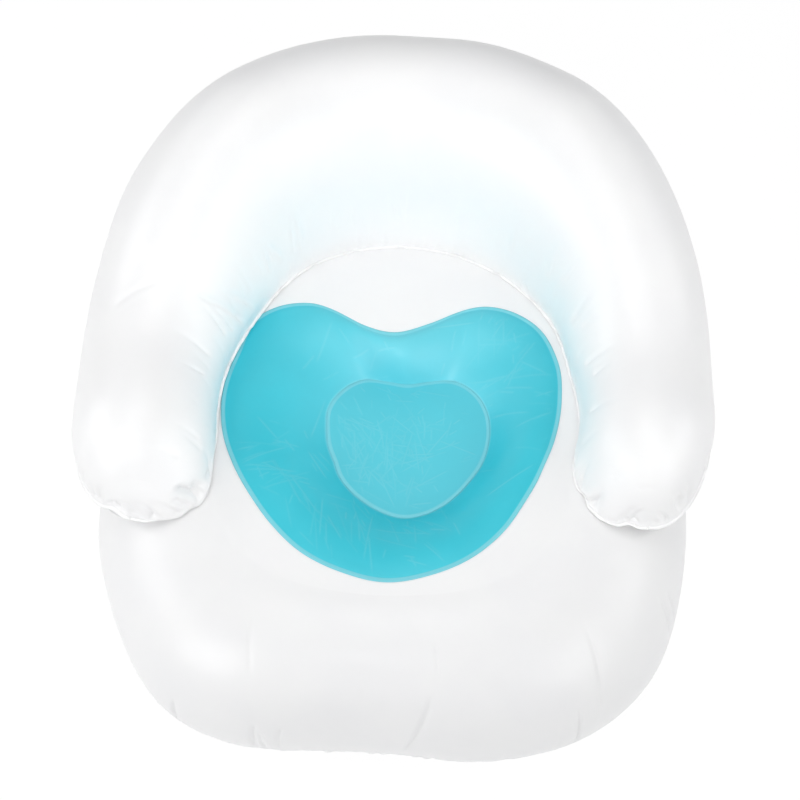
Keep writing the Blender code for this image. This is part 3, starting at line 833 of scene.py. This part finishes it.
def make_heart(look):
    rng = np.random.default_rng(HEART_SEED)
    angle = ring_angles(SEAT_SIDES)
    top = heart_z(angle)
    floor = BASE_HEIGHT - WELL_DEPTH
    lift = FILM + WELD_GAP
    edge = heart_points(angle, HEART_LAP)
    rows = [raised(centre_points(angle, -CENTRE_LAP * share), floor) for share in (1.0, 0.5)]
    weld = [1.0, 1.0]
    for share in shares(RING_ROWS)[::-1]:
        bulge = RING_BULGE * 4.0 * share * (1.0 - share)
        z = mix(top, floor, share**WELL_POWER) + bulge + lift * (1.0 - share)
        rows.append(raised(mix(edge, centre_points(angle), share), z))
        weld.append(ease((share - CENTRE_WELD_SHARE) / (1.0 - CENTRE_WELD_SHARE)))
    for share in shares(5)[1:]:
        rows.append(raised(heart_points(angle, HEART_LAP * (1.0 - share)), top + lift))
        weld.append(1.0)
    grid = np.array(rows)
    height, line = crumple(rng, grid[..., 0], grid[..., 1], HEART_CLUSTERS, *HEART_CREASES)
    height += swell(rng, grid, *SEAT_SWELL)
    walked = steps_along(grid, 0)
    free = ease((walked - walked[2]) / SEAT_WELD_FADE) * ease((walked[-5] - walked) / SEAT_WELD_FADE)
    grid = grid + grid_normals(grid, True) * (height * free)[..., None]
    # A painted sheen: paler aqua over the ring above the centre, fading out towards the left, carried in the
    # weld mark
    offset = grid[..., :2] - np.array(PAINTED_SHEEN_MIDDLE)
    painted_sheen = PAINTED_SHEEN_PALENESS * ease(1.0 - np.linalg.norm(offset, axis=-1) / PAINTED_SHEEN_RADIUS)
    weld = np.maximum(np.array(weld)[:, None], painted_sheen)
    return film("seat_heart_skin", grid, look, closed=True, weld=weld, crease=line * free)


def make_centre(look):
    rng = np.random.default_rng(CENTRE_SEED)
    angle = ring_angles(SEAT_SIDES)
    z = BASE_HEIGHT - WELL_DEPTH + FILM + CENTRE_GAP
    edge = centre_points(angle)
    share = shares(CENTRE_ROWS)[:, None]
    plan = CENTRE_POINT + (edge - CENTRE_POINT)[None] * share[..., None]
    grid = raised(plan, z)
    height, line = crumple(rng, grid[..., 0], grid[..., 1], CENTRE_CLUSTERS, *CENTRE_CREASES)
    inside = np.linalg.norm(edge - CENTRE_POINT, axis=-1) * (1.0 - share)
    free = ease((inside - CENTRE_LAP) / CENTRE_WELD_FADE)
    grid[..., 2] += (height + CENTRE_RISE * ease(inside / CENTRE_RISE_LENGTH)) * free
    past_weld = ease((inside - CENTRE_LAP * CENTRE_WELD_LAP_SHARE) / CENTRE_WELD_BLUR)
    # The weld mark is 1 on the centre's weld rim and CENTRE_PALENESS over the rest of its face, which it
    # makes paler all over
    weld = mix(1.0, CENTRE_PALENESS, past_weld)
    return film("seat_centre_skin", grid, look, closed=True, weld=weld, crease=line * free)


def make_wall(look):
    """The band inside the base that holds the seat's centre down."""
    angle = ring_angles(WALL_SIDES)
    top = BASE_HEIGHT - WELL_DEPTH - FILM - WELD_GAP
    bottom = FILM + WELD_GAP
    rows = [raised(centre_points(angle, -CENTRE_LAP), top)]
    for share in shares(WALL_ROWS):
        slack = WALL_SLACK * math.sin(math.pi * share)
        rows.append(raised(centre_points(angle, slack), mix(top, bottom, share)))
    rows.append(raised(centre_points(angle, -CENTRE_LAP), bottom))
    return film("seat_wall_skin", np.array(rows), look, closed=True)


# Horseshoe

class Horseshoe:
    """Cross-sections of the back and arms, from the left arm's front end to the right's, as columns."""

    def __init__(self):
        half = SEAT_OPENING_WIDTH / 2
        front_y = FRONT_Y + ARM_SETBACK + ARM_CAP
        cap = np.linspace(math.pi / 2, 0.0, CAP_STATIONS + 1)[:-1]
        arm = shares(ARM_STATIONS + 1)[:-1]
        arch = np.linspace(0.0, math.pi / 2, ARCH_STATIONS)
        roundness = 2.0 / ARM_CAP_POWER
        straight = np.ones(CAP_STATIONS + ARM_STATIONS)
        x = np.concatenate((straight * half, half * np.cos(arch)))
        y = np.concatenate((
            front_y - ARM_CAP * np.sin(cap) ** roundness,
            mix(front_y, ARCH_Y, arm),
            ARCH_Y + ARCH_DEPTH * np.sin(arch),
        ))
        outward = np.stack((np.cos(arch) / half, np.sin(arch) / ARCH_DEPTH), -1)
        outward /= np.linalg.norm(outward, axis=-1, keepdims=True)
        outward = np.concatenate((np.stack((straight, 0.0 * straight), -1), outward))
        scale = np.ones(len(x))
        scale[:CAP_STATIONS] = np.maximum(0.0, np.cos(cap)) ** roundness
        scale[0] = 0.0
        turned = np.zeros(len(x))
        turned[:CAP_STATIONS] = cap
        back = np.zeros(len(x))
        back[-ARCH_STATIONS:] = ease(arch / BACK_START_TURN)
        mirror = np.array((-1.0, 1.0))
        seam = np.stack((x, y), -1)
        self.seam = np.concatenate((seam * mirror, seam[::-1][1:]))
        self.outward = np.concatenate((outward * mirror, outward[::-1][1:]))
        self.scale, self.turned, self.back = (
            np.concatenate((values, values[::-1][1:]))[:, None] for values in (scale, turned, back)
        )
        self.half = mix(ARM_WIDTH, BACK_THICKNESS, self.back) / 2
        self.rise = mix(ARM_CENTRE_RISE, BACK_CENTRE_RISE, self.back)
        back_top = OVERALL_HEIGHT - SEAM_Z - LIP_STACK - BACK_CENTRE_RISE
        self.over = mix(ARM_RISE, back_top, self.back)
        self.under = mix(ARM_UNDER, BACK_UNDER, self.back)
        self.outer_turn = mix(-ARM_SEAM_TURN, BACK_SEAM_TURN, self.back)
        self.inner_turn = math.pi + np.arcsin(self.rise / self.under)

    def points(self, turn, lift=0.0):
        """Points of every section; turn 0 is a section's outermost side and a quarter turn its top."""
        middle = self.seam - self.outward * self.half * np.cos(self.inner_turn)
        spread = self.half * self.scale * np.cos(turn)
        plan = middle[:, None] + self.outward[:, None] * spread[..., None]
        tall = np.where(np.sin(turn) > 0.0, self.over, self.under)
        z = SEAM_Z + (self.rise + tall * np.sin(turn)) * self.scale
        return raised(plan, np.maximum(z, tube_floor_z(plan)) + lift)

    def lip(self, turn, side, reach, lift=0.0):
        """Points of the weld lip beside the seam at that turn."""
        forward = np.array((0.0, -1.0))
        aim = self.outward * side * np.cos(self.turned) + forward * np.sin(self.turned)
        lip = self.points(turn, lift)
        along = steps_along(lip, 0)
        if side < 0.0:
            reach = reach * (1.0 - TUCKED_SHARE * tucked(along))
            hang = np.zeros_like(along)
        else:
            reach = np.full_like(along, reach)
            hang = ARM_LIP_HANG * self.scale
        rise = ruffle(along / RUFFLE_LENGTH * math.tau) * self.scale / SEEN_LIP - np.sin(hang)
        lip[..., :2] += aim[:, None] * (reach * np.cos(hang))[..., None]
        lip[..., 2] += reach * rise
        return lip


def tucked(along):
    """1 where the left arm's end covers the inner lip, 0 elsewhere."""
    grown = ease((along - TUCKED_LIP[0]) / TUCK_LENGTHS[0])
    return grown * ease((TUCKED_LIP[1] - along) / TUCK_LENGTHS[1])


def lip_mark(rows):
    """1 on the two outermost columns at each side of a film with that many rows, which are its weld lips and
    take a painted highlight.
    """
    return np.pad(np.zeros(rows), 2, constant_values=1.0)


def bend_of(seam):
    """How sharply a seam turns in plan, along its points."""
    step = np.gradient(seam[:, :2], axis=0)
    heading = np.unwrap(np.arctan2(step[:, 1], step[:, 0]))
    length = np.maximum(np.linalg.norm(step, axis=-1), 1e-6)
    return np.abs(np.gradient(heading)) / length


def seam_folds(rng, seam, away, group):
    """Random folds away from a seam, deeper where it bends."""
    along = steps_along(seam[:, None], 0)

    def strength(places):
        bend = np.interp(places, along[:, 0], bend_of(seam)) * SEAT_OPENING_WIDTH / 2
        return np.clip(bend, *BEND_STRENGTHS)

    return folds(along, away, random_folds(rng, along[-1, 0], *group, strength))


def make_front(look, shoe):
    rng = np.random.default_rng(FRONT_SEED)
    turn = mix(shoe.inner_turn, shoe.outer_turn, shares(FRONT_ROWS)[None])
    body = shoe.points(turn, LIP_STACK)
    walked = steps_along(body, 1)
    left = walked[:, -1:] - walked
    along = steps_along(body[:, :1], 0)
    height = swell(rng, body, *FRONT_SWELL)
    height += seam_folds(rng, body[:, 0], walked, INNER_SHORT_FOLDS)
    height += seam_folds(rng, body[:, 0], walked, INNER_FAR_FOLDS)
    height += seam_folds(rng, body[:, -1], left, OUTER_FOLDS)
    height += folds(along, walked, INNER_TIP_FOLDS) + folds(along, walked, INNER_BEND_FOLDS)
    height += folds(along, left, OUTER_TIP_FOLDS) + creases(along, walked, FRONT_CREASES)
    free = ease(walked / SHOE_SEAM_FADE) * ease(left / SHOE_SEAM_FADE)
    body = body + grid_normals(body, False) * (height * free)[..., None]
    inner = [shoe.lip(turn[:, :1], -1.0, SEEN_LIP * share, LIP_STACK) for share in (1.0, 0.5)]
    outer = [shoe.lip(turn[:, -1:], 1.0, SEEN_LIP * share, LIP_STACK) for share in (0.5, 1.0)]
    grid = settled(np.concatenate((*inner, body, *outer), 1), HORSESHOE_SETTLED)
    return film("back_arm_front_skin", grid, look, weld=lip_mark(FRONT_ROWS))


def make_rear(look, shoe):
    rng = np.random.default_rng(REAR_SEED)
    turn = mix(shoe.outer_turn, shoe.inner_turn - math.tau, shares(REAR_ROWS)[None])
    body = shoe.points(turn)
    walked = steps_along(body, 1)
    left = walked[:, -1:] - walked
    height = swell(rng, body, *REAR_SWELL)
    height += seam_folds(rng, body[:, 0], walked, OUTER_FOLDS)
    touching = body[..., 2] < tube_floor_z(body[..., :2]) + TOUCHING
    free = ease(walked / SHOE_SEAM_FADE) * ease(left / SHOE_SEAM_FADE) * np.where(touching, 0.0, 1.0)
    body = body + grid_normals(body, False) * (height * free)[..., None]
    outer = [shoe.lip(turn[:, :1], 1.0, SEEN_LIP * share) for share in (1.0, 0.5)]
    inner = [shoe.lip(turn[:, -1:], -1.0, SEEN_LIP * share) for share in (0.5, 1.0)]
    grid = settled(np.concatenate((*outer, body, *inner), 1), HORSESHOE_SETTLED)
    spot = valve_spot("back")
    grid = seated_valve(grid, spot)
    return film("back_arm_rear_skin", grid, look, hole=valve_hole(spot), weld=lip_mark(REAR_ROWS))


# Materials

class Look:
    """A Principled material and the nodes that feed it."""

    def __init__(self, name, **values):
        self.material = bpy.data.materials.new(name)
        self.material.use_nodes = True
        self.nodes = self.material.node_tree.nodes
        self.links = self.material.node_tree.links
        self.shader = self.nodes["Principled BSDF"]
        self.set(self.shader, values)
        self.object_space = self.node("TexCoord").outputs["Object"]

    def feed(self, socket, value):
        if isinstance(value, bpy.types.NodeSocket):
            self.links.new(value, socket)
        else:
            socket.default_value = value

    def set(self, node, values):
        for name, value in values.items():
            self.feed(node.inputs[name], value)

    def node(self, kind, settings=None, **values):
        node = self.nodes.new("ShaderNode" + kind)
        for name, value in (settings or {}).items():
            setattr(node, name, value)
        self.set(node, values)
        return node

    def noise(self, scale, detail=3.0):
        node = self.node("TexNoise", Vector=self.object_space, Scale=scale, Detail=detail, Roughness=0.5)
        return node.outputs["Fac"]

    def ramp(self, value, low, high, start=0.0, end=1.0):
        """value from low to high, mapped to start to end and clamped."""
        node = self.node("MapRange", {"interpolation_type": "SMOOTHSTEP"}, Value=value)
        for name, number in (("From Min", low), ("From Max", high), ("To Min", start), ("To Max", end)):
            node.inputs[name].default_value = number
        return node.outputs["Result"]

    def product(self, first, second):
        node = self.node("Math", {"operation": "MULTIPLY"})
        for socket, value in zip(node.inputs, (first, second)):
            self.feed(socket, value)
        return node.outputs["Value"]

    def blend(self, share, first, second):
        node = self.node("Mix", {"data_type": "RGBA"})
        for index, value in zip(MIX_COLOUR_INPUTS, (share, first, second)):
            self.feed(node.inputs[index], value)
        return node.outputs[MIX_COLOUR_OUTPUT]

    def craze(self, scale, width, thresholds):
        """1 on short straight lines in all directions, 0 between them."""
        cells = self.node("TexVoronoi", {"feature": "DISTANCE_TO_EDGE"}, Scale=scale)
        self.links.new(self.object_space, cells.inputs["Vector"])
        lines = self.ramp(cells.outputs["Distance"], 0.0, width * scale, 1.0, 0.0)
        return self.product(lines, self.ramp(self.noise(scale * 1.1, 1.0), *thresholds))

    def bump(self, height, distance, normal=None):
        node = self.node("Bump", Height=height, Distance=distance, Strength=BUMP_STRENGTH)
        if normal is not None:
            self.links.new(normal, node.inputs["Normal"])
        return node.outputs["Normal"]


def film_look(name, colour, pale, deep, roughness, gloss, crease_tint, weld_and_painted_light_tint):
    """Satin PVC film: paler on its creases and on the weld mark, which holds welds, painted highlights and a
    painted sheen, with a slightly uneven gloss and a fine grain.
    """
    look = Look(name)
    tone = look.blend(look.ramp(look.noise(CLOUD_SCALE, 4.0), *CLOUD_RANGE), (*deep, 1.0), (*colour, 1.0))
    # The weld mark's pale colour is partly real weld bands, partly painted light: a painted highlight on
    # white lips, a painted sheen on the aqua ring
    for mark, tint in (("crease", crease_tint), ("weld", weld_and_painted_light_tint)):
        share = look.node("Attribute", {"attribute_name": mark}).outputs["Fac"]
        tone = look.blend(look.product(share, tint), tone, (*pale, 1.0))
    normal = look.bump(look.noise(GRAIN_SCALE, 2.0), GRAIN_DEPTH)
    normal = look.bump(look.craze(CRAZE_SCALE, CRAZE_WIDTH, CRAZE_RANGE), CRAZE_DEPTH, normal)
    rough = look.ramp(look.noise(SHEEN_SCALE), *SHEEN_RANGE, *(roughness + step for step in SHEEN_SPREAD))
    look.set(look.shader, {"Base Color": tone, "Roughness": rough, "Normal": normal})
    look.set(look.shader, {"IOR": FILM_IOR, "Specular IOR Level": gloss})
    return look.material


def vinyl_look():
    """Milky soft vinyl of the valves, moulded with a fine grain."""
    look = Look("valve_vinyl_look")
    tone = look.blend(look.noise(VINYL_TONE_SCALE), *VINYL_TONES)
    normal = look.bump(look.noise(VINYL_GRAIN_SCALE, 2.0), VINYL_GRAIN_DEPTH)
    rough = look.ramp(look.noise(VINYL_SHEEN_SCALE, 2.0), *SHEEN_RANGE, *VINYL_ROUGHNESS)
    look.set(look.shader, {"Base Color": tone, "Roughness": rough, "Normal": normal, "IOR": FILM_IOR})
    return look.material


# Studio

def aim(thing, target):
    thing.rotation_euler = (target - thing.location).to_track_quat("-Z", "Y").to_euler()


def from_target(distance, azimuth, elevation, target):
    flat = math.cos(elevation)
    offset = Vector((math.sin(azimuth) * flat, -math.cos(azimuth) * flat, math.sin(elevation)))
    return target + offset * distance


def make_camera():
    data = bpy.data.cameras.new("camera")
    data.lens = CAMERA_LENS
    data.shift_x, data.shift_y = CAMERA_SHIFT
    camera = bpy.data.objects.new("camera", data)
    bpy.context.scene.collection.objects.link(camera)
    camera.location = from_target(CAMERA_DISTANCE, CAMERA_AZIMUTH, CAMERA_ELEVATION, CAMERA_AIM)
    aim(camera, CAMERA_AIM)
    bpy.context.scene.camera = camera


def make_lamp(name, azimuth, elevation, power, spread, distance, size, target):
    data = bpy.data.lights.new(name, "AREA")
    data.shape = "SQUARE"
    data.size = size
    data.spread = math.radians(spread)
    data.energy = power
    lamp = bpy.data.objects.new(name, data)
    bpy.context.scene.collection.objects.link(lamp)
    lamp.location = from_target(distance, math.radians(azimuth), math.radians(elevation), Vector(target))
    aim(lamp, Vector(target))


def seen_directly(nodes, links):
    """1 for camera, glossy and transmission rays, 0 for the rest."""
    path = nodes.new("ShaderNodeLightPath")
    total = path.outputs["Is Camera Ray"]
    for name in ("Is Glossy Ray", "Is Transmission Ray"):
        either = nodes.new("ShaderNodeMath")
        either.operation = "MAXIMUM"
        links.new(total, either.inputs[0])
        links.new(path.outputs[name], either.inputs[1])
        total = either.outputs[0]
    return total


def make_world():
    world = bpy.data.worlds.new("studio")
    bpy.context.scene.world = world
    world.use_nodes = True
    nodes, links = world.node_tree.nodes, world.node_tree.links
    nodes.clear()
    around = nodes.new("ShaderNodeBackground")
    around.inputs["Color"].default_value = WORLD_COLOUR
    around.inputs["Strength"].default_value = WORLD_LEVEL
    seen = nodes.new("ShaderNodeBackground")
    seen.inputs["Color"].default_value = (1.0, 1.0, 1.0, 1.0)
    mixed = nodes.new("ShaderNodeMixShader")
    links.new(seen_directly(nodes, links), mixed.inputs[0])
    links.new(around.outputs[0], mixed.inputs[1])
    links.new(seen.outputs[0], mixed.inputs[2])
    links.new(mixed.outputs[0], nodes.new("ShaderNodeOutputWorld").inputs[0])


def make_floor():
    half = FLOOR_HALF_WIDTH
    corners = [(-half, -half, 0.0), (half, -half, 0.0), (half, half, 0.0), (-half, half, 0.0)]
    data = bpy.data.meshes.new("floor")
    data.from_pydata(corners, [], [(0, 1, 2, 3)])
    floor = bpy.data.objects.new("floor", data)
    floor.location.z = -FLOOR_DROP
    bpy.context.scene.collection.objects.link(floor)
    made = bpy.data.materials.new("floor_white")
    made.use_nodes = True
    nodes, links = made.node_tree.nodes, made.node_tree.links
    shader = nodes["Principled BSDF"]
    shader.inputs["Base Color"].default_value = FLOOR_COLOUR
    shader.inputs["Roughness"].default_value = FLOOR_ROUGHNESS
    shader.inputs["Specular IOR Level"].default_value = FLOOR_GLOSS
    glow = nodes.new("ShaderNodeEmission")
    glow.inputs["Strength"].default_value = FLOOR_GLOW_LEVEL
    share = nodes.new("ShaderNodeMath")
    share.operation = "MULTIPLY"
    links.new(seen_directly(nodes, links), share.inputs[0])
    share.inputs[1].default_value = FLOOR_GLOW
    mixed = nodes.new("ShaderNodeMixShader")
    links.new(share.outputs[0], mixed.inputs[0])
    links.new(shader.outputs[0], mixed.inputs[1])
    links.new(glow.outputs[0], mixed.inputs[2])
    links.new(mixed.outputs[0], nodes["Material Output"].inputs["Surface"])
    data.materials.append(made)


def main():
    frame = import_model()
    white = film_look("white_film_look", *WHITE_FILM)
    aqua = film_look("aqua_film_look", *AQUA_FILM)
    vinyl = vinyl_look()
    shoe = Horseshoe()
    made = (
        (make_base_top(white), "base_top_film", "white_film", 0.95),
        (make_base_bottom(white), "base_bottom_film", "white_film", None),
        (make_heart(aqua), "seat_heart_film", "aqua_film", None),
        (make_centre(aqua), "seat_centre_film", "aqua_film", None),
        (make_wall(white), "seat_inner_wall", "white_film", None),
        (make_front(white, shoe), "back_arm_front_film", "white_film", 0.95),
        (make_rear(white, shoe), "back_arm_rear_film", "white_film", 0.95),
    )
    for piece, node, slot, fill in made:
        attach(piece, "sofa")
        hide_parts(node)
    for name, node in frame["nodes"].items():
        if "_valve_" in name:
            node.data.materials.clear()
            node.data.materials.append(vinyl)
    make_camera()
    make_world()
    make_floor()
    for lamp in LAMPS:
        make_lamp(*lamp)
    bpy.context.scene.view_settings.view_transform = "Standard"


main()
